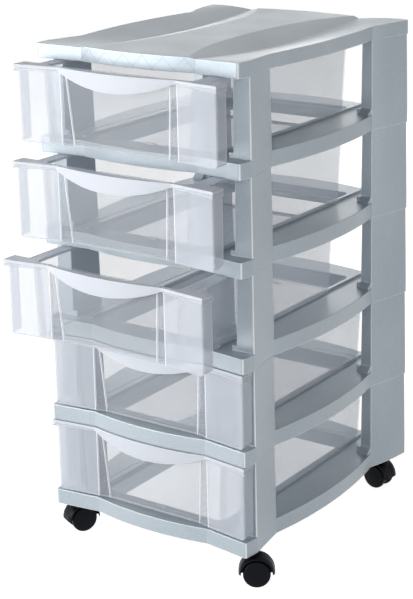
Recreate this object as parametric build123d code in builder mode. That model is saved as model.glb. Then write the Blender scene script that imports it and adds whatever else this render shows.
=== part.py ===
from build123d import *
from math import cos, radians, sin
import os

# Five-drawer plastic storage tower on casters, for A4 sheets and craft supplies.
# Five stacked frame modules and a lid stand on four plug-in twin-wheel casters.
# Each module is a shelf band with four hollow posts, and carries one sliding drawer.
#
# Frame: +Z up, the drawers open towards -Y, +X is the right-hand side seen from the front.
# The floor is z = 0 and the origin is the centre of the tower's footprint as it stands,
# with the three upper drawers pulled out a little.
# "Depth" below is measured from the front corners of the shelf bands, towards the back.

# ---- driving dimensions, millimetres ------------------------------------------------

# the stack
level_count = 5
level_pitch = 120.0
caster_height = 45.0
drawer_opening = (0.0, 0.0, 78.0, 53.0, 42.0)  # how far each drawer stands open, from the bottom

# plan outline of a shelf band: every side has two kinks and a bulge between them
front_half_width = 152.0
rear_half_width = 160.0
frame_depth = 393.0
kink_half_width = 87.0
kink_inset = 8.5
bulge_proud = 1.0
side_waist = 145.0
front_kink_depth = 80.0
rear_kink_depth = 320.0
rail_bulge = 157.0
lid_bulge = 154.0
flare_mid = (153.3, 349.0)  # the side's arc out to the rear corner passes here
corner_radius = 3.5

# shelf band
band_height = 20.2
band_wall = 2.4
shelf_hole_half_width = 92.0
shelf_hole_front = 36.0
shelf_hole_back = 352.0
rib_thickness = 1.8
guide_tab_x = 122.0
guide_tab_height = 6.6
runner_rib_x = 100.0
runner_rib_height = 2.6
runner_rib_front = 24.0
runner_rib_back = 378.0
stop_depth = 30.0
stop_width = 14.0
stop_thickness = 3.0
guide_tab_length = 3.0
runner_rib_width = 3.0
gusset_size = 9.0
shelf_hole_radius = 10.0
cross_rib_depths = (75.0, 137.5, 200.0, 262.5, 325.0)
long_rib_xs = (-45.0, 45.0)

# posts
post_inner_x = 128.5
front_post_front = 22.0
front_post_outer_x = 154.6
post_wall = 2.6
post_draft_inset = 1.3
post_edge_radius = 3.0
spigot_height = 7.0
spigot_gap = 0.3

# lid
lid_height = 19.0
lid_socket_height = 13.0
valley_half_width = 87.0
wing_end = 160.0
flank_bend = (0.3, 0.2)  # shares of the flank's width and fall, where it has turned steep
crown_lead = 0.2  # the flank starts this much above the crown, so that it cuts it cleanly
# stations along the lid's top: depth, crown's half width, valley, wing's middle, wing's outer edge
lid_stations = (
    (-2.0, 84.0, 18.2, 18.7, 19.1),
    (90.0, 48.0, 11.2, 15.2, 19.0),
    (195.0, 38.0, 8.2, 13.8, 18.8),
    (300.0, 44.0, 11.0, 15.4, 18.8),
    (396.0, 84.0, 17.2, 19.2, 18.4),
)
truss_depth = 17.0
truss_step = 14.5
truss_rib = 1.4

# drawer
drawer_wall = 1.9
panel_wall = 2.2
panel_bottom = 21.5
rim_top = 119.0
rim_plate = 2.0
lip_bottom_end = 110.5
lip_bottom_kink = 114.0
pull_bottom = 96.5
panel_half_width = 149.5
panel_front = 3.0
return_length = 18.3
panel_corner_radius = 7.0
window_bottom_half = 72.0
window_top_half = 79.0
window_bottom_depth = 14.0
window_top_depth = 9.6
panel_bends = (1.0, 2.0, 3.0)  # radii at the window's edge, the lobe's edge and the corner
lobe_edge_x = 88.0
lobe_edge_depth = 10.5
lip_wall = 2.0
rim_kink_x = 87.0
rim_side_depth = 20.0
rim_half_width = 152.2
rim_front = -1.5
rim_kink_depth = 6.6
rim_bulge_depth = -3.2
basin_bottom = 23.2
basin_bottom_half = 107.5
basin_top_half = 112.0
basin_bottom_back = 355.0
basin_top_back = 358.5
basin_radius = 9.0
wall_start = 9.2
catch_bottom = 21.2
catch_depth = 349.0
catch_width = 60.0
mouth_front = 12.0
flange_half_width = 127.8
flange_back = 363.0

# casters
stem_points = ((-141.0, 20.0), (141.0, 20.0), (-145.0, 359.0), (145.0, 359.0))
caster_names = ("front_left", "front_right", "rear_left", "rear_right")
caster_headings = (64.0, 34.0, 128.0, 172.0)  # which way each wheel pair trails its stem
trail = 11.0
wheel_radius = 17.5
wheel_inner = 6.1
wheel_shoulder = 13.0
wheel_outer = 14.2
shoulder_radius = 3.0
inner_chamfer = 1.2
hub_radius = 5.2
axle_radius = 2.5
running_gap = 0.05
hood_radius = 23.0
hood_edge_radius = 21.6
hood_half_width = 12.4
hood_crown_half = 7.5
hood_wall = 1.8
web_half_width = 5.4
web_radius = 14.5
boss_radius = 5.4
boss_top = 42.0
stem_radius = 3.9
neck_radius = 3.0
flange_radius = 6.0
flange_gap = 0.3
neck_bottom = 22.5
axle_half_length = 12.4
axle_chamfer = 0.4
axle_end_gap = 0.3
socket_radius = 6.6
socket_depth = 16.5
stem_length = 16.0
stem_tip = (1.5, 2.0)  # taper in and length
neck_chamfer = 0.5

# ---- worked out from the driving dimensions -----------------------------------------

rear_kink_line = frame_depth - kink_inset
rear_bulge_line = frame_depth + bulge_proud
rear_corner_line = rear_kink_line + kink_inset * (post_inner_x - kink_half_width) / (
    rear_half_width - kink_half_width
)
origin_depth = (rear_bulge_line + rim_bulge_depth - max(drawer_opening)) / 2
lid_base = caster_height + level_count * level_pitch


def tower_plane(z, depth=0.0):
    """Level plane at height z whose local y is depth behind the front corners."""
    return Plane(origin=(0, depth - origin_depth, z))


def front_plane(depth=0.0):
    """Upright plane facing the front, with local x to the right and local y up."""
    return Plane(origin=(0, depth - origin_depth, 0), x_dir=(1, 0, 0), z_dir=(0, -1, 0))


def band_outline(bulge):
    """Plan outline shared by the shelf bands and the lid."""
    with BuildSketch() as outline:
        with BuildLine():
            right = [
                (kink_half_width, kink_inset),
                (front_half_width, 0),
                (front_post_outer_x, front_post_front),
                (side_waist, front_kink_depth),
            ]
            ThreePointArc((-kink_half_width, kink_inset), (0, -bulge_proud), right[0])
            Polyline(*right)
            middle = (front_kink_depth + rear_kink_depth) / 2
            ThreePointArc(right[-1], (bulge, middle), (side_waist, rear_kink_depth))
            ThreePointArc(
                (side_waist, rear_kink_depth),
                flare_mid,
                (rear_half_width, frame_depth),
            )
            Line((rear_half_width, frame_depth), (kink_half_width, rear_kink_line))
            ThreePointArc(
                (kink_half_width, rear_kink_line),
                (0, rear_bulge_line),
                (-kink_half_width, rear_kink_line),
            )
            Line((-kink_half_width, rear_kink_line), (-rear_half_width, frame_depth))
            ThreePointArc(
                (-rear_half_width, frame_depth),
                (-flare_mid[0], flare_mid[1]),
                (-side_waist, rear_kink_depth),
            )
            ThreePointArc((-side_waist, rear_kink_depth), (-bulge, middle), (-side_waist, front_kink_depth))
            Polyline(*[(-x, y) for x, y in reversed(right)])
        make_face()
        fillet(outline.vertices().group_by(Axis.Y)[0], corner_radius)
        fillet(outline.vertices().group_by(Axis.Y)[-1], corner_radius)
    return outline.sketch


def post_plans():
    """Plan of the four posts where they leave the shelf band, flush with its outer face."""
    with BuildSketch() as plans:
        with BuildLine():
            Polyline(
                (post_inner_x, front_kink_depth),
                (post_inner_x, front_post_front),
                (front_post_outer_x, front_post_front),
                (side_waist, front_kink_depth),
                close=True,
            )
        make_face()
        fillet(plans.vertices().sort_by(Axis.X)[-1], post_edge_radius)
        with BuildLine():
            Line((post_inner_x, rear_kink_depth), (side_waist, rear_kink_depth))
            ThreePointArc(
                (side_waist, rear_kink_depth),
                flare_mid,
                (rear_half_width, frame_depth),
            )
            Polyline(
                (rear_half_width, frame_depth),
                (post_inner_x, rear_corner_line),
                (post_inner_x, rear_kink_depth),
            )
        make_face()
        fillet(plans.vertices().sort_by(Axis.X)[-1], corner_radius)
        mirror(about=Plane.YZ)
    return plans.sketch


def shelf_hole(grow=0.0):
    """The open middle of a shelf, grown by its surrounding wall where asked."""
    with BuildSketch() as hole:
        with Locations((0, (shelf_hole_front + shelf_hole_back) / 2)):
            RectangleRounded(
                2 * (shelf_hole_half_width + grow),
                shelf_hole_back - shelf_hole_front + 2 * grow,
                shelf_hole_radius + grow,
            )
    return hole.sketch


def underside_hollow(outline, hole=None, truss=False):
    """Plan of the hollows under a band: inside its wall, split up by the ribs."""
    with BuildSketch() as hollow:
        add(outline)
        offset(amount=-band_wall)
        if hole:
            add(hole, mode=Mode.SUBTRACT)
        for depth in cross_rib_depths:
            with Locations((0, depth)):
                Rectangle(2 * rear_half_width, rib_thickness, mode=Mode.SUBTRACT)
        for x in long_rib_xs:
            with Locations((x, (truss_depth + frame_depth) / 2)):
                Rectangle(rib_thickness, frame_depth, mode=Mode.SUBTRACT)
        if truss:
            with Locations((0, truss_depth)):
                Rectangle(2 * front_half_width, rib_thickness, mode=Mode.SUBTRACT)
            with BuildLine(mode=Mode.PRIVATE) as zigzag:
                steps = range(-6, 7)
                Polyline(*[(step * truss_step, truss_depth * (step % 2)) for step in steps])
            trace(zigzag.line, truss_rib, mode=Mode.SUBTRACT)
    return hollow.sketch


def shrunk(plans, inset):
    """Copy of some plan faces, each with its edge moved in."""
    with BuildSketch() as smaller:
        for face in plans.faces():
            with BuildSketch(mode=Mode.PRIVATE) as one:
                add(face)
                offset(amount=-inset)
            add(one.sketch)
    return smaller.sketch


module_outline = band_outline(rail_bulge)
lid_outline = band_outline(lid_bulge)
posts = post_plans()


def make_shelf():
    """One frame moulding, at the lowest level: shelf band and its four posts."""
    base = caster_height
    ledge = base + band_height
    post_top = base + level_pitch
    with BuildPart() as shelf:
        # band, open in the middle and hollow underneath
        with BuildSketch(tower_plane(base)):
            add(module_outline)
            add(shelf_hole(), mode=Mode.SUBTRACT)
        extrude(amount=band_height)
        with BuildSketch(tower_plane(base)):
            add(underside_hollow(module_outline, hole=shelf_hole(band_wall)))
        extrude(amount=band_height - band_wall, mode=Mode.SUBTRACT)

        # posts: a foot flush with the band, a drafted shaft, a spigot for the next moulding
        with BuildSketch(tower_plane(base)):
            add(posts)
        extrude(amount=band_height)
        for plan in posts.faces():
            with BuildSketch(tower_plane(ledge)):
                add(plan)
            with BuildSketch(tower_plane(post_top)):
                add(plan)
                offset(amount=-post_draft_inset)
            loft()
        with BuildSketch(tower_plane(post_top)):
            add(shrunk(posts, post_wall + spigot_gap))
        extrude(amount=spigot_height)
        for plan in posts.faces():
            with BuildSketch(tower_plane(base)):
                add(plan)
                offset(amount=-post_wall)
            with BuildSketch(tower_plane(post_top - post_wall)):
                add(plan)
                offset(amount=-post_wall - post_draft_inset)
            loft(mode=Mode.SUBTRACT)

        # guide tabs at the posts' feet, which keep the drawer straight as it slides
        with BuildSketch(tower_plane(ledge)):
            tab_middle = (guide_tab_x + post_inner_x) / 2
            for side in (-1, 1):
                with Locations((side * tab_middle, front_post_front + guide_tab_length / 2)):
                    Rectangle(post_inner_x - guide_tab_x, guide_tab_length)
                with Locations((side * tab_middle, rear_kink_depth + guide_tab_length / 2)):
                    Rectangle(post_inner_x - guide_tab_x, guide_tab_length)
        extrude(amount=guide_tab_height)

        # low runners under the drawer, and the stop at the middle of the front ledge
        with BuildSketch(tower_plane(ledge)):
            for side in (-1, 1):
                with Locations((side * runner_rib_x, (runner_rib_front + runner_rib_back) / 2)):
                    Rectangle(runner_rib_width, runner_rib_back - runner_rib_front)
            with Locations((0, stop_depth)):
                Rectangle(stop_width, stop_thickness)
        extrude(amount=runner_rib_height)

        # gussets in front of the rear posts
        for side in (-1, 1):
            gusset_plane = Plane(
                origin=(side * post_inner_x, rear_kink_depth - origin_depth, ledge),
                x_dir=(0, -1, 0),
                z_dir=(side, 0, 0),
            )
            with BuildSketch(gusset_plane):
                with BuildLine():
                    Polyline((-1, 0), (gusset_size, 0), (-1, -side * gusset_size), close=True)
                make_face()
            extrude(amount=side_waist - post_inner_x - 1)
    return shelf.part


def make_caster_sockets():
    """Floors in the lowest posts, with the tubes that hold the caster stems."""
    with BuildPart() as sockets:
        with BuildSketch(tower_plane(caster_height + band_height - band_wall)):
            add(shrunk(posts, post_wall / 2))
        extrude(amount=band_wall)
        with BuildSketch(tower_plane(caster_height)):
            with Locations(*stem_points):
                Circle(socket_radius)
        extrude(amount=band_height - band_wall / 2)
    return sockets.part


def above_wings(drop=0.0):
    """What lies above the lid's two wings, or above copies of them that lie lower by drop.

    The middle of the lid stays as a flat crown, waisted between the kinks. From it a flank turns
    down to a valley on each side, deepest half way back, and the wing rises from there to the edge.
    """
    base = lid_base - drop
    roof = lid_base + lid_height + 1
    with BuildPart() as above:
        for depth, crown_half, valley, wing_middle, wing_outer in lid_stations:
            start = (crown_half, base + lid_height + crown_lead)
            low = (valley_half_width, base + valley)
            bend = (
                crown_half + flank_bend[0] * (valley_half_width - crown_half),
                base + lid_height - flank_bend[1] * (lid_height - valley),
            )
            middle = ((valley_half_width + wing_end) / 2, base + wing_middle)
            outer = (wing_end, base + wing_outer)
            with BuildSketch(front_plane(depth)):
                with BuildLine():
                    Spline(start, bend, low)
                    Spline(low, middle, outer)
                    Polyline(outer, (wing_end, roof), (crown_half, roof), start)
                make_face()
        loft()
        mirror(about=Plane.YZ)
    return above.part


def make_lid():
    """Lid: a shallow tray upside down, with post sockets, truss ribs and dished wings."""
    with BuildPart() as hollows:
        with BuildSketch(tower_plane(lid_base)):
            add(underside_hollow(lid_outline, truss=True))
        extrude(amount=lid_height - band_wall)
        add(above_wings(drop=band_wall), mode=Mode.SUBTRACT)
    with BuildPart() as lid:
        with BuildSketch(tower_plane(lid_base)):
            add(lid_outline)
        extrude(amount=lid_height)
        add(hollows.part, mode=Mode.SUBTRACT)
        with BuildSketch(tower_plane(lid_base)):
            add(posts)
        extrude(amount=lid_height)
        with BuildSketch(tower_plane(lid_base)):
            add(shrunk(posts, post_wall))
        extrude(amount=lid_socket_height, mode=Mode.SUBTRACT)
        add(above_wings(), mode=Mode.SUBTRACT)
    return lid


right_rim = [
    (rim_kink_x, rim_kink_depth),
    (rim_half_width, rim_front),
    (rim_half_width, rim_side_depth),
]
left_rim = [(-x, y) for x, y in reversed(right_rim)]


def make_lip():
    """Upright lip round the rim, hanging down in the middle as a finger pull."""
    with BuildPart() as lip:
        with BuildSketch(tower_plane(caster_height + pull_bottom)):
            with BuildLine():
                Polyline(*left_rim)
                ThreePointArc(left_rim[-1], (0, rim_bulge_depth), right_rim[0])
                Polyline(*right_rim)
                offset(amount=lip_wall, side=Side.LEFT)
            make_face()
        extrude(amount=rim_top - pull_bottom)
        with BuildSketch(front_plane(rim_side_depth + 1)):
            with BuildLine():
                kink = (rim_kink_x, caster_height + lip_bottom_kink)
                end = (rim_half_width + 1, caster_height + lip_bottom_end)
                below = (rim_half_width + 1, caster_height + pull_bottom - 1)
                Polyline((-below[0], below[1]), (-end[0], end[1]), (-kink[0], kink[1]))
                ThreePointArc((-kink[0], kink[1]), (0, caster_height + pull_bottom), kink)
                Polyline(kink, end, below, (-below[0], below[1]))
            make_face()
        extrude(amount=rim_side_depth + 1 - rim_bulge_depth + 1, mode=Mode.SUBTRACT)
    return lip.part


def make_drawer():
    """One drawer, closed, at the lowest level: shaped front, clear window, basin and flange."""
    lip = make_lip()
    with BuildPart() as drawer:
        # front panel: two upright lobes and a flat window set back between them
        for height, half, depth in (
            (panel_bottom, window_bottom_half, window_bottom_depth),
            (rim_top - rim_plate / 2, window_top_half, window_top_depth),
        ):
            right = [
                (half, depth),
                (lobe_edge_x, lobe_edge_depth),
                (panel_half_width, panel_front),
                (panel_half_width, panel_front + return_length),
            ]
            left = [(-x, y) for x, y in reversed(right)]
            with BuildSketch(tower_plane(caster_height + height)):
                with BuildLine():
                    FilletPolyline(*left, *right, radius=[*reversed(panel_bends), *panel_bends])
                    offset(amount=panel_wall, side=Side.LEFT)
                make_face()
        loft(ruled=True)
        with BuildSketch(front_plane(panel_front + return_length + 1)):
            for side in (-1, 1):
                with Locations((side * panel_half_width, caster_height + panel_bottom)):
                    Rectangle(2 * panel_corner_radius, 2 * panel_corner_radius)
                with Locations(
                    (
                        side * (panel_half_width - panel_corner_radius),
                        caster_height + panel_bottom + panel_corner_radius,
                    )
                ):
                    Circle(panel_corner_radius, mode=Mode.SUBTRACT)
        extrude(amount=return_length + 2, mode=Mode.SUBTRACT)

        # basin walls, drafted in towards the floor
        for height, half, back in (
            (basin_bottom, basin_bottom_half, basin_bottom_back),
            (rim_top - rim_plate / 2, basin_top_half, basin_top_back),
        ):
            with BuildSketch(tower_plane(caster_height + height)):
                with BuildLine():
                    FilletPolyline(
                        (-half, wall_start),
                        (-half, back),
                        (half, back),
                        (half, wall_start),
                        radius=basin_radius,
                    )
                    offset(amount=drawer_wall, side=Side.RIGHT)
                make_face()
        loft(ruled=True)

        # floor, and the catch at its back that meets the stop
        with BuildSketch(tower_plane(caster_height + basin_bottom)):
            with BuildLine():
                Polyline(
                    (basin_bottom_half, wall_start),
                    (lobe_edge_x, lobe_edge_depth + 1),
                    (window_bottom_half, window_bottom_depth + 1),
                    (-window_bottom_half, window_bottom_depth + 1),
                    (-lobe_edge_x, lobe_edge_depth + 1),
                    (-basin_bottom_half, wall_start),
                )
                FilletPolyline(
                    (-basin_bottom_half, wall_start),
                    (-basin_bottom_half, basin_bottom_back),
                    (basin_bottom_half, basin_bottom_back),
                    (basin_bottom_half, wall_start),
                    radius=basin_radius,
                )
            make_face()
        extrude(amount=drawer_wall)
        with BuildSketch(tower_plane(caster_height + catch_bottom)):
            with Locations((0, catch_depth)):
                Rectangle(catch_width, stop_thickness)
        extrude(amount=basin_bottom + drawer_wall / 2 - catch_bottom)

        # flat rim plate over the front, and the flange round the basin
        mouth_length = basin_top_back - drawer_wall - mouth_front
        with BuildSketch(tower_plane(caster_height + rim_top - rim_plate)):
            with BuildLine():
                Polyline(*left_rim)
                ThreePointArc(left_rim[-1], (0, rim_bulge_depth), right_rim[0])
                Polyline(*right_rim)
                Line(right_rim[-1], left_rim[0])
            make_face()
            with Locations((0, (rim_side_depth + flange_back) / 2)):
                Rectangle(2 * flange_half_width, flange_back - rim_side_depth)
            with Locations((0, mouth_front + mouth_length / 2)):
                RectangleRounded(
                    2 * (basin_top_half - drawer_wall),
                    mouth_length,
                    basin_radius - drawer_wall,
                    mode=Mode.SUBTRACT,
                )
        extrude(amount=rim_plate)
        add(lip)
    return drawer.part


# The caster's pieces are made with the stem's axis as z and the wheels trailing along +X.
hub_centre = (trail, 0, wheel_radius)
across_plane = Plane(origin=hub_centre, x_dir=(1, 0, 0), z_dir=(0, -1, 0))
axle_axis = Axis(hub_centre, (0, 1, 0))


def make_stem():
    """Steel stem: plug for the frame's socket, thrust flange, and the neck it swivels on."""
    with BuildPart() as stem:
        with BuildSketch(Plane.XZ):
            with BuildLine():
                Polyline(
                    (0, neck_bottom),
                    (neck_radius - neck_chamfer, neck_bottom),
                    (neck_radius, neck_bottom + neck_chamfer),
                    (neck_radius, boss_top + flange_gap),
                    (flange_radius, boss_top + flange_gap),
                    (flange_radius, caster_height),
                    (stem_radius, caster_height),
                    (stem_radius, caster_height + stem_length - stem_tip[1]),
                    (stem_radius - stem_tip[0], caster_height + stem_length),
                    (0, caster_height + stem_length),
                    close=True,
                )
            make_face()
        revolve(axis=Axis.Z)
    return stem.part


def make_housing():
    """Caster housing: crowned hood over both wheels, the web that holds the axle, and the boss."""
    with BuildPart() as housing:
        # hood, turned over the top of the wheels
        with BuildSketch(Plane(origin=hub_centre, x_dir=(0, 1, 0), z_dir=(0, 0, 1))):
            with BuildLine():
                outer = [
                    (-hood_half_width, hood_edge_radius),
                    (-hood_crown_half, hood_radius),
                    (hood_crown_half, hood_radius),
                    (hood_half_width, hood_edge_radius),
                ]
                inner = [(x, y - hood_wall) for x, y in reversed(outer)]
                Polyline(*outer, *inner, close=True)
            make_face()
        revolve(axis=axle_axis, revolution_arc=180)

        # web between the wheels
        with BuildSketch(across_plane):
            Circle(web_radius)
            with BuildLine():
                inside = hood_radius - hood_wall / 2
                CenterArc((0, 0), inside, 0, 180)
                Line((-inside, 0), (inside, 0))
            make_face()
        extrude(amount=web_half_width, both=True)

        # boss for the stem, and the axle's hole
        with BuildSketch(Plane.XY.offset(wheel_radius)):
            Circle(boss_radius)
        extrude(amount=boss_top - wheel_radius)
        with BuildSketch(Plane.XY.offset(neck_bottom - neck_chamfer)):
            Circle(neck_radius + running_gap)
        extrude(amount=boss_top - neck_bottom + 1, mode=Mode.SUBTRACT)
        with BuildSketch(across_plane):
            Circle(axle_radius)
        extrude(amount=web_half_width, both=True, mode=Mode.SUBTRACT)
    return housing.part


def make_axle():
    """Steel axle, fixed in the housing's web."""
    with BuildPart() as axle:
        with BuildSketch(across_plane):
            Circle(axle_radius)
        extrude(amount=axle_half_length, both=True)
        chamfer(axle.edges().filter_by(GeomType.CIRCLE), axle_chamfer)
    return axle.part


def make_wheel():
    """One wheel: rounded shoulder, shallow domed face with a hub cap, blind bore for the axle."""
    bore = axle_radius + running_gap
    with BuildPart() as wheel:
        with BuildSketch(Plane(origin=hub_centre, x_dir=(0, 1, 0), z_dir=(1, 0, 0))):
            with BuildLine():
                Polyline(
                    (axle_half_length + axle_end_gap, 0),
                    (axle_half_length + axle_end_gap, bore),
                    (wheel_inner, bore),
                    (wheel_inner, wheel_radius - inner_chamfer),
                    (wheel_inner + inner_chamfer, wheel_radius),
                    (wheel_shoulder - shoulder_radius, wheel_radius),
                )
                RadiusArc(
                    (wheel_shoulder - shoulder_radius, wheel_radius),
                    (wheel_shoulder, wheel_radius - shoulder_radius),
                    shoulder_radius,
                )
                Polyline(
                    (wheel_shoulder, wheel_radius - shoulder_radius),
                    (wheel_outer, hub_radius),
                    (wheel_outer, 0),
                    (axle_half_length + axle_end_gap, 0),
                )
            make_face()
        revolve(axis=axle_axis)
    return wheel.part


def save(piece, name):
    """Label a finished piece and write it as its own file."""
    piece.part.label = name
    export_step(piece.part, f"parts/{name}.step")


def save_copy(master, place, name):
    """Write one piece made from a master shape standing at its place."""
    with BuildPart() as piece:
        with Locations(place):
            add(master)
    save(piece, name)


os.makedirs("parts", exist_ok=True)

# the frame: the lowest moulding also holds the caster stems
shelf = make_shelf()
with BuildPart() as lowest:
    add(shelf)
    add(make_caster_sockets())
    with BuildSketch(tower_plane(caster_height)):
        with Locations(*stem_points):
            Circle(stem_radius)
    extrude(amount=socket_depth, mode=Mode.SUBTRACT)
save(lowest, "frame_1")
for number in range(1, level_count):
    save_copy(shelf, Location((0, 0, number * level_pitch)), f"frame_{number + 1}")
save(make_lid(), "lid")

# the drawers, each pulled out by its opening
drawer = make_drawer()
for number, opening in enumerate(drawer_opening):
    save_copy(drawer, Location((0, -opening, number * level_pitch)), f"drawer_{number + 1}")

# the casters, each turned to its heading
caster_masters = {"stem": make_stem(), "housing": make_housing(), "axle": make_axle()}
wheel = make_wheel()
for corner, (x, depth), heading in zip(caster_names, stem_points, caster_headings):
    stand = Location((x, depth - origin_depth, 0), (0, 0, heading))
    turned = stand * Location((2 * trail, 0, 0), (0, 0, 180))
    for piece_name, master in caster_masters.items():
        save_copy(master, stand, f"caster_{corner}_{piece_name}")
    save_copy(wheel, stand, f"caster_{corner}_wheel_1")
    save_copy(wheel, turned, f"caster_{corner}_wheel_2")
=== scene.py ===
"""Looks for a five-drawer plastic storage tower on casters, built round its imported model.

The tower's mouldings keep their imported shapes. This script gives each one its finish, adds the
floor, the studio light and the camera, and logs what it dressed.
Units are metres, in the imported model's own frame: +Z up, the drawers open towards -Y.
"""

from __future__ import annotations

import logging
from dataclasses import dataclass, replace
from math import cos, radians, sin

import bpy
from mathutils import Matrix, Vector


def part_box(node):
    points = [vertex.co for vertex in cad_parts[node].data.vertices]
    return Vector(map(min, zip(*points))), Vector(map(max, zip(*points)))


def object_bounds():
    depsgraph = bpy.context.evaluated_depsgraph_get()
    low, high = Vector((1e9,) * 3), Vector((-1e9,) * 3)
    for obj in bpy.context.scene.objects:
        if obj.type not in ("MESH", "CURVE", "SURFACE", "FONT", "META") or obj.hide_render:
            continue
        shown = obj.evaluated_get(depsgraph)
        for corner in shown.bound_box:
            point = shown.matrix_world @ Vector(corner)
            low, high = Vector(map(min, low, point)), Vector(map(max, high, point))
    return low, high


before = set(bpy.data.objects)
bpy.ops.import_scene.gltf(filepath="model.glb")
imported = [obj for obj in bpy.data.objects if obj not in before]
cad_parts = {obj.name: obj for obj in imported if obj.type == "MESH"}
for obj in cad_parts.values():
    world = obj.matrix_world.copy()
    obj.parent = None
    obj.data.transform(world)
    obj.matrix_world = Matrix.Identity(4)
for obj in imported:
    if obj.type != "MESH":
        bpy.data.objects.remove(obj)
cad_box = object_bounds()

MM = 0.001
LEVELS = 5
CLEAR_WALLS = 48
CORNERS = ("front_left", "front_right", "rear_left", "rear_right")

log = logging.getLogger("drawer_tower")

Colour = tuple[float, float, float]

BLACK = (0.0, 0.0, 0.0)
WHITE = (1.0, 1.0, 1.0)


def srgb(red: int, green: int, blue: int) -> Colour:
    """Turn a colour written as 0 to 255 display values into linear light.

    Args:
        red: Red as displayed.
        green: Green as displayed.
        blue: Blue as displayed.

    Returns:
        The same colour in linear values.
    """
    toe, slope, gamma = 0.04045, 12.92, 2.4
    values = []
    for value in (red / 255, green / 255, blue / 255):
        values.append(value / slope if value <= toe else ((value + 0.055) / 1.055) ** gamma)
    return tuple(values)


class Graph:
    """A node tree with short ways to add nodes and to wire them."""

    def __init__(self, tree: bpy.types.NodeTree) -> None:
        """Keep the tree that the nodes go into.

        Args:
            tree: The shader or group tree to build in.
        """
        self.tree = tree

    def add(self, kind: str, **settings: object) -> bpy.types.Node:
        """Add one node.

        Args:
            kind: Node type without its ShaderNode prefix.
            settings: Attributes of the node.

        Returns:
            The new node.
        """
        node = self.tree.nodes.new(kind if kind.startswith("Node") else f"ShaderNode{kind}")
        for name, value in settings.items():
            setattr(node, name, value)
        return node

    def feed(self, socket: bpy.types.NodeSocket, source: object) -> None:
        """Link a socket to its source, or write a plain value on it.

        Args:
            socket: Input socket to fill.
            source: An output socket, or a value.
        """
        if isinstance(source, bpy.types.NodeSocket):
            self.tree.links.new(source, socket)
        else:
            socket.default_value = source

    def maths(self, operation: str, *terms: object, clamp: bool = False) -> bpy.types.NodeSocket:
        """Combine numbers.

        Args:
            operation: Name of the Math node's operation.
            terms: Sockets or numbers, in the node's order.
            clamp: Whether the result is kept between 0 and 1.

        Returns:
            The result's socket.
        """
        node = self.add("Math", operation=operation, use_clamp=clamp)
        for socket, term in zip(node.inputs, terms):
            self.feed(socket, term)
        return node.outputs[0]

    def ramp(
        self, value: object, low: float, high: float, start: float = 0.0, end: float = 1.0
    ) -> bpy.types.NodeSocket:
        """Map a value smoothly from one range to another.

        Args:
            value: The socket to map.
            low: Value that gives start.
            high: Value that gives end.
            start: Result at low.
            end: Result at high.

        Returns:
            The mapped value's socket.
        """
        node = self.add("MapRange", interpolation_type="SMOOTHSTEP")
        for socket, term in zip(node.inputs, (value, low, high, start, end)):
            self.feed(socket, term)
        return node.outputs[0]

    def noise(self, place: object, scale: object, detail: float = 2.0) -> bpy.types.NodeSocket:
        """Add a noise texture.

        Args:
            place: Coordinates to read.
            scale: Cells per metre, or their socket.
            detail: Octaves of finer noise.

        Returns:
            The noise value's socket.
        """
        node = self.add("TexNoise")
        self.feed(node.inputs["Vector"], place)
        self.feed(node.inputs["Scale"], scale)
        self.feed(node.inputs["Detail"], detail)
        return node.outputs["Fac"]

    def bump(self, height: object, strength: float, distance: float) -> bpy.types.NodeSocket:
        """Turn a height into a normal.

        Args:
            height: Socket of the height.
            strength: Strength of the relief.
            distance: Height that a value of 1 stands for.

        Returns:
            The normal's socket.
        """
        node = self.add("Bump")
        self.feed(node.inputs["Strength"], strength)
        self.feed(node.inputs["Distance"], distance)
        self.feed(node.inputs["Height"], height)
        return node.outputs["Normal"]

    def mix(self, share: object, first: object, second: object) -> bpy.types.NodeSocket:
        """Mix two colours.

        Args:
            share: Share of the second colour.
            first: First colour or its socket.
            second: Second colour or its socket.

        Returns:
            The mixed colour's socket.
        """
        node = self.add("Mix", data_type="RGBA")
        for name, term in (("Factor_Float", share), ("A_Color", first), ("B_Color", second)):
            socket = next(s for s in node.inputs if s.identifier == name)
            if isinstance(term, tuple):
                term = (*term, 1.0)
            self.feed(socket, term)
        return next(s for s in node.outputs if s.identifier == "Result_Color")


class EffectGroup:
    """A shader node group that several finishes share, built once."""

    name = "effect"
    inputs: dict[str, tuple[str, object]] = {}
    outputs: dict[str, str] = {}

    @classmethod
    def tree(cls) -> bpy.types.NodeTree:
        """Give the group's tree, building it on first use.

        Returns:
            The group's node tree.
        """
        if cls.name in bpy.data.node_groups:
            return bpy.data.node_groups[cls.name]
        tree = bpy.data.node_groups.new(cls.name, "ShaderNodeTree")
        for name, (kind, value) in cls.inputs.items():
            socket = tree.interface.new_socket(name, in_out="INPUT", socket_type=kind)
            if value is not None:
                socket.default_value = value
        for name, kind in cls.outputs.items():
            tree.interface.new_socket(name, in_out="OUTPUT", socket_type=kind)
        graph = Graph(tree)
        start = graph.add("NodeGroupInput")
        end = graph.add("NodeGroupOutput")
        cls.wire(graph, start.outputs, end.inputs)
        return tree

    @classmethod
    def wire(cls, graph: Graph, given: object, result: object) -> None:
        """Build the group's nodes.

        Args:
            graph: Graph of the group's tree.
            given: Sockets that carry the group's inputs.
            result: Sockets that take the group's outputs.
        """
        raise NotImplementedError

    @classmethod
    def place(cls, graph: Graph, **values: object) -> bpy.types.bpy_prop_collection:
        """Place the group in a material.

        Args:
            graph: Graph of the material.
            values: Input values or sockets, with underscores for the spaces in their names.

        Returns:
            The placed node's outputs.
        """
        node = graph.add("Group", node_tree=cls.tree())
        for name, value in values.items():
            graph.feed(node.inputs[name.replace("_", " ")], value)
        return node.outputs


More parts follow.
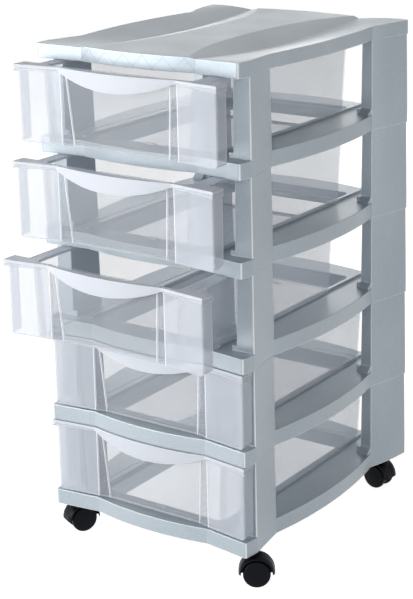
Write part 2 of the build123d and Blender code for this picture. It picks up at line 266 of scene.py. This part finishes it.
class SoftEdges(EffectGroup):
    """Rounded arrises: the normal turned over each edge, and masks of where the edges are.

    The third output is the mask of the highlight painted along the arrises, without those that look
    up, which stay dull.
    The fourth is the mask of the highlight painted on the moulded round corners between upright
    faces.
    """

    name = "soft_edges"
    inputs = {
        "Radius": ("NodeSocketFloat", 0.0008),
        "Normal": ("NodeSocketVector", None),
    }
    outputs = {
        "Normal": "NodeSocketVector",
        "Edge": "NodeSocketFloat",
        "Bright": "NodeSocketFloat",
        "Corner Highlight": "NodeSocketFloat",
    }
    samples = 8
    edge_gain = 7.0
    upward_start = 0.12
    upward_full = 0.4
    upward_left = 0.12
    corner_start = 0.38
    corner_full = 0.46

    @classmethod
    def wire(cls, graph: Graph, given: object, result: object) -> None:
        """Round the normal and compare it with the flat one.

        Args:
            graph: Graph of the group's tree.
            given: The arrises' radius and the normal to round.
            result: The rounded normal and the three masks.
        """
        rounded = graph.add("Bevel", samples=cls.samples)
        graph.feed(rounded.inputs["Radius"], given["Radius"])
        graph.feed(rounded.inputs["Normal"], given["Normal"])
        flat = graph.add("NewGeometry")
        dot = graph.add("VectorMath", operation="DOT_PRODUCT")
        graph.feed(dot.inputs[0], rounded.outputs[0])
        graph.feed(dot.inputs[1], flat.outputs["Normal"])
        turned = graph.maths("SUBTRACT", 1.0, dot.outputs["Value"])
        edge = graph.maths("MULTIPLY", turned, cls.edge_gain, clamp=True)
        parts = graph.add("SeparateXYZ")
        graph.feed(parts.inputs[0], rounded.outputs[0])
        upward = parts.outputs["Z"]
        # Arrises that look up keep little of the painted highlight, as the low lamps leave them
        # dull.
        kept = graph.ramp(upward, cls.upward_start, cls.upward_full, 1.0, cls.upward_left)
        graph.feed(result["Edge"], edge)
        graph.feed(result["Bright"], graph.maths("MULTIPLY", edge, kept))
        graph.feed(result["Normal"], rounded.outputs[0])
        # Painted highlight on the round corners between upright faces, where the normal looks half
        # forward, half sideways.
        facing = graph.add("SeparateXYZ")
        graph.feed(facing.inputs[0], flat.outputs["Normal"])
        across = graph.maths("MULTIPLY", facing.outputs["X"], facing.outputs["Y"])
        diagonal = graph.maths("ABSOLUTE", across)
        graph.feed(result["Corner Highlight"], graph.ramp(diagonal, cls.corner_start, cls.corner_full))


class MouldedSkin(EffectGroup):
    """Skin of moulded plastic: fine grain, slow waves of the wall, and a soft mottle."""

    name = "moulded_skin"
    inputs = {
        "Place": ("NodeSocketVector", None),
        "Grain Scale": ("NodeSocketFloat", 2600.0),
        "Grain": ("NodeSocketFloat", 0.3),
        "Wave": ("NodeSocketFloat", 0.3),
    }
    outputs = {
        "Height": "NodeSocketFloat",
        "Mottle": "NodeSocketFloat",
    }
    wave_scale = 14.0
    mottle_scale = 5.0

    @classmethod
    def wire(cls, graph: Graph, given: object, result: object) -> None:
        """Add the grain to the waves, and put out the mottle beside them.

        Args:
            graph: Graph of the group's tree.
            given: The place, the grain's scale and height, and the waves' height.
            result: The skin's height and its mottle.
        """
        grain = graph.noise(given["Place"], given["Grain Scale"], 1.0)
        wave = graph.noise(given["Place"], cls.wave_scale, 0.0)
        height = graph.maths(
            "ADD",
            graph.maths("MULTIPLY", grain, given["Grain"]),
            graph.maths("MULTIPLY", wave, given["Wave"]),
        )
        graph.feed(result["Height"], height)
        graph.feed(result["Mottle"], graph.noise(given["Place"], cls.mottle_scale, 3.0))


class Dust(EffectGroup):
    """Thin film of dust on faces that look up, in patches."""

    name = "dust"
    inputs = {
        "Place": ("NodeSocketVector", None),
        "Amount": ("NodeSocketFloat", 0.1),
    }
    outputs = {"Dust": "NodeSocketFloat"}
    colour = srgb(205, 203, 198)
    patch_scale = 22.0
    patch_range = (0.35, 0.75)
    upward_range = (0.6, 1.0)

    @classmethod
    def wire(cls, graph: Graph, given: object, result: object) -> None:
        """Take the upward share of the normal and break it up with noise.

        Args:
            graph: Graph of the group's tree.
            given: The place and the dust's amount.
            result: The dust's mask.
        """
        facing = graph.add("NewGeometry")
        parts = graph.add("SeparateXYZ")
        graph.feed(parts.inputs[0], facing.outputs["Normal"])
        upward = graph.ramp(parts.outputs["Z"], *cls.upward_range)
        patches = graph.ramp(graph.noise(given["Place"], cls.patch_scale, 4.0), *cls.patch_range)
        film = graph.maths("MULTIPLY", upward, patches)
        graph.feed(result["Dust"], graph.maths("MULTIPLY", film, given["Amount"]))


@dataclass(frozen=True)
class Plastic:
    """An opaque moulded plastic with an optional metallic fleck.

    Attributes:
        name: Name of the material.
        shade: Colour of the plain surface.
        deep: Darker colour that the mottle mixes in.
        edge: Colour of the highlight painted along the arrises and round upright corners; the
            metallic flecks take it too.
        edge_share: How much of the painted highlight shows on the arrises.
        corner_share: How much of the painted highlight shows on round upright corners.
        roughness: Middle of the roughness range.
        fleck: Strength of the metallic fleck.
        grain: Height of the surface grain.
        metallic: Metallic value of the plastic.
        specular: Strength of the plain gloss.
        edge_radius: Radius of the arrises in metres.
        dust: Amount of dust on upward faces.
        truss_marks: How dark the zigzag of the lid's ribs shows.
        relief: Strength of the skin's relief.
        relief_height: Height of the skin's relief in metres.
        roughness_spread: How far the roughness wanders from its middle.
        fleck_scale: Flecks per metre.
        mark_darkness: Share of the deep colour that a mark keeps.
    """

    name: str
    shade: Colour
    deep: Colour
    edge: Colour
    edge_share: float = 0.3
    corner_share: float = 0.0
    roughness: float = 0.42
    fleck: float = 0.0
    grain: float = 0.25
    metallic: float = 0.0
    specular: float = 0.5
    edge_radius: float = 0.8 * MM
    dust: float = 0.0
    truss_marks: float = 0.0
    relief: float = 0.12
    relief_height: float = 0.4 * MM
    roughness_spread: float = 0.04
    fleck_scale: float = 1700.0
    mark_darkness: float = 0.5

    def material(self) -> bpy.types.Material:
        """Build the material.

        Returns:
            The finished material.
        """
        material, graph, shader, place = new_material(self.name)
        skin = MouldedSkin.place(graph, Place=place, Grain=self.grain)
        normal = graph.bump(skin["Height"], self.relief, self.relief_height)
        edges = SoftEdges.place(graph, Radius=self.edge_radius, Normal=normal)
        colour = graph.mix(graph.ramp(skin["Mottle"], 0.35, 0.7), self.shade, self.deep)
        smooth = self.roughness - self.roughness_spread
        coarse = self.roughness + self.roughness_spread
        rough = graph.ramp(skin["Mottle"], 0.3, 0.7, smooth, coarse)
        if self.fleck:
            colour = self.flecked(graph, place, colour)
        if self.dust:
            film = Dust.place(graph, Place=place, Amount=self.dust)
            colour = graph.mix(film["Dust"], colour, Dust.colour)
            rough = graph.maths("ADD", rough, film["Dust"])
        if self.truss_marks:
            zigzag = TrussMarks.place(graph, Place=place)
            marked = graph.maths("MULTIPLY", zigzag["Mark"], self.truss_marks)
            mark_colour = tuple(self.mark_darkness * value for value in self.deep)
            colour = graph.mix(marked, colour, mark_colour)
        # Painted highlight: the base colour is mixed towards the near-white edge colour along the
        # arrises and round upright corners.
        painted_highlight_mask = graph.maths("MULTIPLY", edges["Bright"], self.edge_share)
        if self.corner_share:
            corner = graph.maths("MULTIPLY", edges["Corner Highlight"], self.corner_share)
            painted_highlight_mask = graph.maths("MAXIMUM", painted_highlight_mask, corner)
        graph.feed(shader.inputs["Base Color"], graph.mix(painted_highlight_mask, colour, self.edge))
        graph.feed(shader.inputs["Roughness"], rough)
        graph.feed(shader.inputs["Metallic"], self.metallic)
        graph.feed(shader.inputs["Specular IOR Level"], self.specular)
        graph.feed(shader.inputs["Normal"], edges["Normal"])
        return material

    def flecked(self, graph: Graph, place: object, colour: object) -> bpy.types.NodeSocket:
        """Sprinkle bright metallic flecks on a colour.

        Args:
            graph: Graph of the material.
            place: The place in the tower's coordinates.
            colour: Socket of the colour under the flecks.

        Returns:
            The flecked colour's socket.
        """
        flecks = graph.add("TexVoronoi")
        graph.feed(flecks.inputs["Vector"], place)
        graph.feed(flecks.inputs["Scale"], self.fleck_scale)
        sparkle = graph.add("SeparateColor")
        graph.feed(sparkle.inputs[0], flecks.outputs["Color"])
        bright = graph.ramp(sparkle.outputs[0], 0.55, 1.0, 0.0, self.fleck)
        return graph.mix(bright, colour, self.edge)


class DrawerZones(EffectGroup):
    """Where a drawer moulding is milky and where it is clear, from its own coordinates."""

    name = "drawer_zones"
    inputs = {"Place": ("NodeSocketVector", None)}
    outputs = {
        "Window": "NodeSocketFloat",
        "Front": "NodeSocketFloat",
        "Rim": "NodeSocketFloat",
        "Recess": "NodeSocketFloat",
        "Crease Highlight": "NodeSocketFloat",
    }
    window_bottom_half = 72.0 * MM
    window_top_half = 79.0 * MM
    window_near = 11.2 * MM
    window_far = 21.5 * MM
    lobe_edge = 88.0 * MM
    front_back = 25.0 * MM
    height = 97.5 * MM
    rim_below = 3.2 * MM
    blend = 0.5 * MM
    line_half = 0.35 * MM

    @classmethod
    def wire(cls, graph: Graph, given: object, result: object) -> None:
        """Box in the window, the front, the rim and the creases by depth, side and height.

        Args:
            graph: Graph of the group's tree.
            given: The place in the drawer's own coordinates.
            result: The five masks.
        """
        parts = graph.add("SeparateXYZ")
        graph.feed(parts.inputs[0], given["Place"])
        side = graph.maths("ABSOLUTE", parts.outputs["X"])
        depth = parts.outputs["Y"]
        height = parts.outputs["Z"]
        grow = (cls.window_top_half - cls.window_bottom_half) / cls.height
        half = graph.maths("ADD", graph.maths("MULTIPLY", height, grow), cls.window_bottom_half)
        past_window = graph.maths("SUBTRACT", side, half)
        past_lobe = graph.maths("SUBTRACT", side, cls.lobe_edge)
        in_window = graph.ramp(past_window, -cls.blend, cls.blend, 1.0, 0.0)
        in_lobes = graph.ramp(past_lobe, -cls.blend, cls.blend, 1.0, 0.0)
        behind_lip = graph.ramp(depth, cls.window_near - cls.blend, cls.window_near + cls.blend)
        ahead = graph.ramp(depth, cls.window_far - cls.blend, cls.window_far + cls.blend, 1.0, 0.0)
        slab = graph.maths("MULTIPLY", behind_lip, ahead)
        graph.feed(result["Window"], graph.maths("MULTIPLY", in_window, slab))
        between = graph.maths("SUBTRACT", in_lobes, in_window, clamp=True)
        graph.feed(result["Recess"], graph.maths("MULTIPLY", between, slab))
        front = graph.ramp(depth, cls.front_back - cls.blend, cls.front_back + cls.blend, 1.0, 0.0)
        graph.feed(result["Front"], front)
        rim_foot = cls.height - cls.rim_below
        top = graph.ramp(height, rim_foot, rim_foot + cls.blend)
        lip = graph.maths("MULTIPLY", in_lobes, graph.maths("SUBTRACT", 1.0, behind_lip))
        graph.feed(result["Rim"], graph.maths("MAXIMUM", top, lip))
        # Thin lines along the creases of the window and the lobes, where a highlight is painted.
        highlight_lines = graph.maths("MAXIMUM", cls.line(graph, past_window), cls.line(graph, past_lobe))
        graph.feed(result["Crease Highlight"], graph.maths("MULTIPLY", highlight_lines, slab))

    @classmethod
    def line(cls, graph: Graph, distance: object) -> bpy.types.NodeSocket:
        """Turn a distance into a thin line.

        Args:
            graph: Graph to build in.
            distance: Signed distance from the line.

        Returns:
            The line's mask.
        """
        away = graph.maths("ABSOLUTE", distance)
        return graph.ramp(away, cls.line_half, cls.line_half + cls.blend, 1.0, 0.0)


class TrussMarks(EffectGroup):
    """Faint zigzag that the ribs behind the lid's front band leave on its outer face."""

    name = "truss_marks"
    inputs = {"Place": ("NodeSocketVector", None)}
    outputs = {"Mark": "NodeSocketFloat"}
    step = 14.5 * MM
    half_length = 86.0 * MM
    foot = 645.0 * MM
    head = 664.0 * MM
    width = 0.13
    front_depth = -146.0 * MM

    @classmethod
    def wire(cls, graph: Graph, given: object, result: object) -> None:
        """Follow a zigzag in x and z on the faces at the front of the lid.

        Args:
            graph: Graph of the group's tree.
            given: The place in the tower's coordinates.
            result: The zigzag's mask.
        """
        parts = graph.add("SeparateXYZ")
        graph.feed(parts.inputs[0], given["Place"])
        side = graph.maths("ABSOLUTE", parts.outputs["X"])
        wave = graph.maths("PINGPONG", side, cls.step)
        across = graph.maths("DIVIDE", wave, cls.step)
        upward = graph.ramp(parts.outputs["Z"], cls.foot, cls.head)
        apart = graph.maths("ABSOLUTE", graph.maths("SUBTRACT", across, upward))
        zigzag = graph.ramp(apart, 0.0, cls.width, 1.0, 0.0)
        within = graph.maths("LESS_THAN", side, cls.half_length)
        front = graph.maths("LESS_THAN", parts.outputs["Y"], cls.front_depth)
        shown = graph.maths("MULTIPLY", within, front)
        graph.feed(result["Mark"], graph.maths("MULTIPLY", zigzag, shown))


@dataclass(frozen=True)
class FrostedPlastic:
    """Natural translucent polypropylene of the drawers.

    Attributes:
        milky: Colour of the thick, frosted parts.
        clear: Colour of the thin, clear parts.
        painted_recess_shade: Darker colour of the slope between window and lobe, a painted shade of
            that slope.
        edge: Colour of the highlight painted along the arrises and creases, standing in for the
            light they gather.
        front_cover: Share of light the frosted front stops at each surface.
        wall_cover: The same for the basin's walls.
        window_cover: The same for the window.
        rim_cover: The same for the rim and the finger pull.
        recess_cover: The same for the slope between window and lobe.
        edge_cover: Added at the arrises and creases, under the painted highlight.
        roughness: Roughness of the frosted parts.
        window_roughness: Roughness of the clear window.
        grain: Height of the surface grain.
        wave: Height of the wall's slow waves.
        relief: Strength of the skin's relief.
        relief_height: Height of the skin's relief in metres.
        edge_radius: Radius of the arrises in metres.
        cover_spread: How far the mottle moves the share of light stopped.
    """

    milky: Colour
    clear: Colour
    painted_recess_shade: Colour
    edge: Colour
    front_cover: float = 0.42
    wall_cover: float = 0.22
    window_cover: float = 0.25
    rim_cover: float = 0.8
    recess_cover: float = 0.36
    edge_cover: float = 0.6
    roughness: float = 0.42
    window_roughness: float = 0.16
    grain: float = 0.35
    wave: float = 0.8
    relief: float = 0.15
    relief_height: float = 0.5 * MM
    edge_radius: float = 1.6 * MM
    cover_spread: float = 0.03

    def material(self, number: int) -> bpy.types.Material:
        """Build the material of one drawer.

        Args:
            number: The drawer's number, from the bottom.

        Returns:
            The finished material, with its pattern centred on that drawer.
        """
        low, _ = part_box(f"drawer_{number}")
        material, graph, shader, place = new_material(f"drawer_{number}_frosted")
        own = graph.add("Mapping")
        graph.feed(own.inputs["Vector"], place)
        own.inputs["Location"].default_value = (0.0, -low.y, -low.z)
        own_place = own.outputs["Vector"]
        zones = DrawerZones.place(graph, Place=own_place)
        skin = MouldedSkin.place(graph, Place=own_place, Grain=self.grain, Wave=self.wave)
        normal = graph.bump(skin["Height"], self.relief, self.relief_height)
        edges = SoftEdges.place(graph, Radius=self.edge_radius, Normal=normal)

        cover = graph.ramp(zones["Front"], 0.0, 1.0, self.wall_cover, self.front_cover)
        cover = self.towards(graph, zones["Rim"], cover, self.rim_cover)
        cover = self.towards(graph, zones["Window"], cover, self.window_cover)
        cover = self.towards(graph, zones["Recess"], cover, self.recess_cover)
        spread = graph.ramp(skin["Mottle"], 0.3, 0.7, -self.cover_spread, self.cover_spread)
        cover = graph.maths("ADD", cover, spread)
        # Painted highlight: the arrises and the creases stop more light and take the near-white
        # edge colour.
        highlight_lines = graph.maths("MAXIMUM", edges["Edge"], zones["Crease Highlight"])
        edge_cover = graph.maths("MULTIPLY", highlight_lines, self.edge_cover)
        cover = graph.maths("ADD", cover, edge_cover, clamp=True)

        colour = graph.mix(zones["Window"], self.milky, self.clear)
        # Painted shade: the slope between window and lobe takes a darker grey.
        colour = graph.mix(zones["Recess"], colour, self.painted_recess_shade)
        colour = graph.mix(highlight_lines, colour, self.edge)
        rough = self.towards(graph, zones["Window"], self.roughness, self.window_roughness)
        graph.feed(shader.inputs["Base Color"], colour)
        graph.feed(shader.inputs["Roughness"], rough)
        graph.feed(shader.inputs["Alpha"], cover)
        graph.feed(shader.inputs["Normal"], edges["Normal"])
        return material

    @staticmethod
    def towards(graph: Graph, share: object, value: object, other: float) -> bpy.types.NodeSocket:
        """Blend a value towards another.

        Args:
            graph: Graph to build in.
            share: Share of the other value.
            value: First value or its socket.
            other: Second value.

        Returns:
            The blended value's socket.
        """
        node = graph.add("Mix", data_type="FLOAT")
        for name, term in (("Factor_Float", share), ("A_Float", value), ("B_Float", other)):
            graph.feed(next(s for s in node.inputs if s.identifier == name), term)
        return next(s for s in node.outputs if s.identifier == "Result_Float")


@dataclass(frozen=True)
class PlatedSteel:
    """Zinc-plated steel of the caster stems and axles, with fine turning marks.

    Attributes:
        name: Name of the material.
        shade: Colour of the plain surface.
        dark: Darker colour that the marks mix in.
        mark_scale: Marks per metre.
        relief: Strength of the marks' relief.
        relief_height: Height of the marks in metres.
        roughness_range: Roughness where a mark is faint, and where it is strong.
    """

    name: str = "plated_steel"
    shade: Colour = srgb(176, 176, 180)
    dark: Colour = srgb(120, 121, 126)
    mark_scale: float = 900.0
    relief: float = 0.1
    relief_height: float = 0.1 * MM
    roughness_range: tuple[float, float] = (0.22, 0.4)

    def material(self) -> bpy.types.Material:
        """Build the material.

        Returns:
            The finished material.
        """
        material, graph, shader, place = new_material(self.name)
        marks = graph.noise(place, self.mark_scale)
        normal = graph.bump(marks, self.relief, self.relief_height)
        graph.feed(shader.inputs["Base Color"], graph.mix(marks, self.shade, self.dark))
        graph.feed(shader.inputs["Roughness"], graph.ramp(marks, 0.2, 0.8, *self.roughness_range))
        graph.feed(shader.inputs["Metallic"], 1.0)
        graph.feed(shader.inputs["Normal"], normal)
        return material


def new_material(
    name: str,
) -> tuple[bpy.types.Material, Graph, bpy.types.Node, bpy.types.NodeSocket]:
    """Start a node material.

    Args:
        name: Name of the material.

    Returns:
        The material, its graph, its Principled shader and the Object coordinates' socket.
    """
    material = bpy.data.materials.new(name)
    material.use_nodes = True
    graph = Graph(material.node_tree)
    material.node_tree.nodes.clear()
    shader = graph.add("BsdfPrincipled")
    output = graph.add("OutputMaterial")
    graph.feed(output.inputs["Surface"], shader.outputs[0])
    coordinates = graph.add("TexCoord")
    return material, graph, shader, coordinates.outputs["Object"]


# The silver's near-white edge colour is a highlight painted on the arrises and round upright
# corners.
SILVER = Plastic(
    name="silver_plastic",
    shade=srgb(178, 189, 197),
    deep=srgb(168, 180, 188),
    edge=srgb(250, 252, 253),
    edge_share=0.9,
    corner_share=0.85,
    roughness=0.33,
    fleck=0.2,
    metallic=0.35,
    edge_radius=2.0 * MM,
    dust=0.04,
)
# The black plastics' lighter edge colours are highlights painted on their arrises.
CASTER_BLACK = Plastic(
    name="caster_black",
    shade=srgb(9, 11, 19),
    deep=srgb(6, 7, 12),
    edge=srgb(60, 63, 74),
    edge_share=0.35,
    roughness=0.36,
    specular=0.1,
    edge_radius=0.7 * MM,
    dust=0.012,
)
WHEEL_BLACK = Plastic(
    name="wheel_black",
    shade=srgb(14, 16, 25),
    deep=srgb(9, 10, 17),
    edge=srgb(74, 77, 88),
    edge_share=0.35,
    roughness=0.4,
    specular=0.1,
    edge_radius=0.7 * MM,
    dust=0.012,
)
# The drawers' recess colour is a painted shade of the slope; their edge colour is a painted
# highlight.
FROSTED = FrostedPlastic(
    milky=srgb(232, 237, 246),
    clear=srgb(204, 210, 217),
    painted_recess_shade=srgb(186, 192, 203),
    edge=srgb(250, 251, 254),
)
STEEL = PlatedSteel()


def dress(node: str, material: bpy.types.Material) -> None:
    """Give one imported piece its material.

    Args:
        node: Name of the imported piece.
        material: The material it gets.
    """
    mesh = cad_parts[node].data
    mesh.materials.clear()
    mesh.materials.append(material)
    log.info("%s wears %s", node, material.name)


@dataclass
class FrameStack:
    """The five frame mouldings and the lid."""

    finish: Plastic
    lid_marks: float = 0.3

    def dress(self) -> None:
        """Give the mouldings their silver plastic."""
        material = self.finish.material()
        for number in range(1, LEVELS + 1):
            dress(f"frame_{number}", material)
        marked = replace(self.finish, name="silver_lid", truss_marks=self.lid_marks)
        dress("lid", marked.material())


@dataclass
class DrawerSet:
    """The five drawers."""

    finish: FrostedPlastic

    def dress(self) -> None:
        """Give each drawer its frosted plastic, centred on that drawer."""
        for number in range(1, LEVELS + 1):
            dress(f"drawer_{number}", self.finish.material(number))


@dataclass
class CasterSet:
    """The four twin-wheel casters."""

    housing: Plastic
    wheel: Plastic
    steel: PlatedSteel

    def dress(self) -> None:
        """Give the housings, wheels, stems and axles their finishes."""
        housing = self.housing.material()
        wheel = self.wheel.material()
        steel = self.steel.material()
        for corner in CORNERS:
            dress(f"caster_{corner}_housing", housing)
            for number in (1, 2):
                dress(f"caster_{corner}_wheel_{number}", wheel)
            for piece in ("stem", "axle"):
                dress(f"caster_{corner}_{piece}", steel)


def direction(azimuth: float, elevation: float) -> Vector:
    """Give the direction from the tower towards something that stands round it.

    Args:
        azimuth: Turn to the right of straight ahead, in degrees.
        elevation: Height above the horizon, in degrees.

    Returns:
        The direction, one metre long.
    """
    turn = radians(azimuth)
    rise = radians(elevation)
    return Vector((sin(turn) * cos(rise), -cos(turn) * cos(rise), sin(rise)))


@dataclass
class StudioCamera:
    """The camera that stands where the photograph was taken.

    Attributes:
        azimuth: Turn to the right of straight ahead, in degrees.
        elevation: Height above the horizon, in degrees.
        roll: Turn about the line of sight, in degrees.
        target: Point it looks at.
        distance: Distance to the target.
        focal_pixels: Focal length in the photograph's pixels.
        centre_offset: Where the line of sight meets the picture, right of and below its
            middle, in pixels.
        picture_height: Height of the photograph in pixels.
        sensor: Width of the sensor in millimetres.
        clip: Nearest and farthest distance seen, in metres.
    """

    azimuth: float = 34.0
    elevation: float = 13.95
    roll: float = -0.83
    target: Vector = Vector((46.3, 35.6, 472.7)) * MM
    distance: float = 2.1232
    focal_pixels: float = 1634.43
    centre_offset: tuple[float, float] = (50.0, -120.0)
    picture_height: float = 599.0
    sensor: float = 36.0
    clip: tuple[float, float] = (0.05, 100.0)

    def build(self) -> None:
        """Make the camera and make it the scene's own."""
        azimuth = radians(self.azimuth)
        roll = radians(self.roll)
        back = direction(self.azimuth, self.elevation)
        right = Vector((cos(azimuth), sin(azimuth), 0.0))
        up = back.cross(right)
        rolled_right = cos(roll) * right + sin(roll) * up
        rolled_up = cos(roll) * up - sin(roll) * right
        turn = Matrix((rolled_right, rolled_up, back)).transposed()
        data = bpy.data.cameras.new("studio_camera")
        data.sensor_fit = "AUTO"
        data.sensor_width = self.sensor
        data.lens = self.focal_pixels * self.sensor / self.picture_height
        data.shift_x = -self.centre_offset[0] / self.picture_height
        data.shift_y = self.centre_offset[1] / self.picture_height
        data.clip_start, data.clip_end = self.clip
        camera = bpy.data.objects.new("studio_camera", data)
        camera.matrix_world = Matrix.Translation(self.target + back * self.distance) @ turn.to_4x4()
        bpy.context.scene.collection.objects.link(camera)
        bpy.context.scene.camera = camera
        log.info("camera stands at %s", tuple(round(v, 3) for v in camera.location))


@dataclass(frozen=True)
class Lamp:
    """A soft area lamp.

    Attributes:
        name: Name of the lamp.
        azimuth: Direction it stands in, in degrees to the right of the front.
        elevation: Height above the horizon, in degrees.
        distance: Distance from the tower's middle.
        size: Width and height.
        power: Power in watts.
        colour: Colour of the light.
    """

    name: str
    azimuth: float
    elevation: float
    distance: float
    size: tuple[float, float]
    power: float
    colour: Colour = WHITE

    def build(self, centre: Vector) -> None:
        """Hang the lamp so that it points at the tower.

        Args:
            centre: Middle of the tower.
        """
        back = direction(self.azimuth, self.elevation)
        data = bpy.data.lights.new(self.name, "AREA")
        data.shape = "RECTANGLE"
        data.size, data.size_y = self.size
        data.energy = self.power
        data.color = self.colour
        lamp = bpy.data.objects.new(self.name, data)
        lamp.location = centre + back * self.distance
        lamp.rotation_mode = "QUATERNION"
        lamp.rotation_quaternion = (-back).to_track_quat("-Z", "Y")
        bpy.context.scene.collection.objects.link(lamp)


LAMPS = (
    Lamp("front_softbox", -34.0, 11.0, 2.5, (2.6, 1.2), 56.0),
    Lamp("camera_strip", 30.0, 8.0, 3.0, (0.35, 2.2), 6.0),
    Lamp("side_softbox", 100.0, 8.0, 2.8, (1.4, 1.4), 8.0, (0.96, 0.98, 1.0)),
    Lamp("rear_strip", 210.0, 9.0, 2.8, (1.7, 0.25), 5.5),
)


@dataclass
class Studio:
    """White floor, even world light and soft lamps.

    Attributes:
        floor_half: Half the floor's width.
        floor_colour: Colour of the floor.
        floor_lift: Light the floor shows to the camera and in reflections alone.
        floor_roughness: Roughness of the floor.
        floor_patches: Patches per metre of the floor's faint unevenness.
        floor_shade: Share of its colour that the floor keeps in the darker patches.
        world_colour: Colour of the world's light.
        world_strength: Strength of the world's light.
    """

    floor_half: float = 30.0
    floor_colour: Colour = (0.86, 0.86, 0.86)
    floor_lift: float = 0.88
    floor_roughness: float = 0.9
    floor_patches: float = 3.0
    floor_shade: float = 0.99
    world_colour: Colour = (0.97, 0.985, 1.0)
    world_strength: float = 0.16

    def build(self) -> None:
        """Make the floor, the world and the lamps."""
        self.build_floor()
        self.build_world()
        low, high = cad_box
        for lamp in LAMPS:
            lamp.build((low + high) / 2)

    def build_floor(self) -> None:
        """Lay the floor under the wheels and give it its pale finish."""
        mesh = bpy.data.meshes.new("studio_floor")
        half = self.floor_half
        corners = [(-half, -half, 0.0), (half, -half, 0.0), (half, half, 0.0), (-half, half, 0.0)]
        mesh.from_pydata(corners, [], [(0, 1, 2, 3)])
        floor = bpy.data.objects.new("studio_floor", mesh)
        bpy.context.scene.collection.objects.link(floor)
        material, graph, shader, place = new_material("studio_floor")
        darker = tuple(value * self.floor_shade for value in self.floor_colour)
        patches = graph.noise(place, self.floor_patches)
        shade = graph.mix(patches, self.floor_colour, darker)
        graph.feed(shader.inputs["Base Color"], shade)
        graph.feed(shader.inputs["Roughness"], self.floor_roughness)
        graph.feed(shader.inputs["Specular IOR Level"], 0.0)
        seen = self.seen_directly(graph)
        shown = graph.mix(seen, BLACK, WHITE)
        graph.feed(shader.inputs["Emission Color"], shown)
        graph.feed(shader.inputs["Emission Strength"], self.floor_lift)
        mesh.materials.append(material)

    def build_world(self) -> None:
        """Make the world an even light, and plain white where it is seen."""
        world = bpy.data.worlds.new("studio_world")
        bpy.context.scene.world = world
        world.use_nodes = True
        graph = Graph(world.node_tree)
        world.node_tree.nodes.clear()
        lighting = graph.add("Background")
        graph.feed(lighting.inputs["Color"], (*self.world_colour, 1.0))
        graph.feed(lighting.inputs["Strength"], self.world_strength)
        white = graph.add("Background")
        graph.feed(white.inputs["Color"], (*WHITE, 1.0))
        blend = graph.add("MixShader")
        graph.feed(blend.inputs[0], self.seen_directly(graph))
        graph.feed(blend.inputs[1], lighting.outputs[0])
        graph.feed(blend.inputs[2], white.outputs[0])
        output = graph.add("OutputWorld")
        graph.feed(output.inputs["Surface"], blend.outputs[0])

    @staticmethod
    def seen_directly(graph: Graph) -> bpy.types.NodeSocket:
        """Tell rays that look at a surface, or see it mirrored, from rays that gather light.

        Args:
            graph: Graph to build in.

        Returns:
            1 for camera, transmission and glossy rays, 0 for the others.
        """
        path = graph.add("LightPath")
        through = graph.maths(
            "MAXIMUM", path.outputs["Is Camera Ray"], path.outputs["Is Transmission Ray"]
        )
        return graph.maths("MAXIMUM", through, path.outputs["Is Glossy Ray"])


def set_view() -> None:
    """Set the plain display transform, and let light through many clear walls."""
    scene = bpy.context.scene
    scene.view_settings.view_transform = "Standard"
    scene.cycles.transparent_max_bounces = CLEAR_WALLS


def main() -> None:
    """Dress the tower and set up the studio, in order."""
    logging.basicConfig(level=logging.INFO, format="%(name)s: %(message)s")
    set_view()
    FrameStack(SILVER).dress()
    DrawerSet(FROSTED).dress()
    CasterSet(CASTER_BLACK, WHEEL_BLACK, STEEL).dress()
    Studio().build()
    StudioCamera().build()


if __name__ == "__main__":
    main()
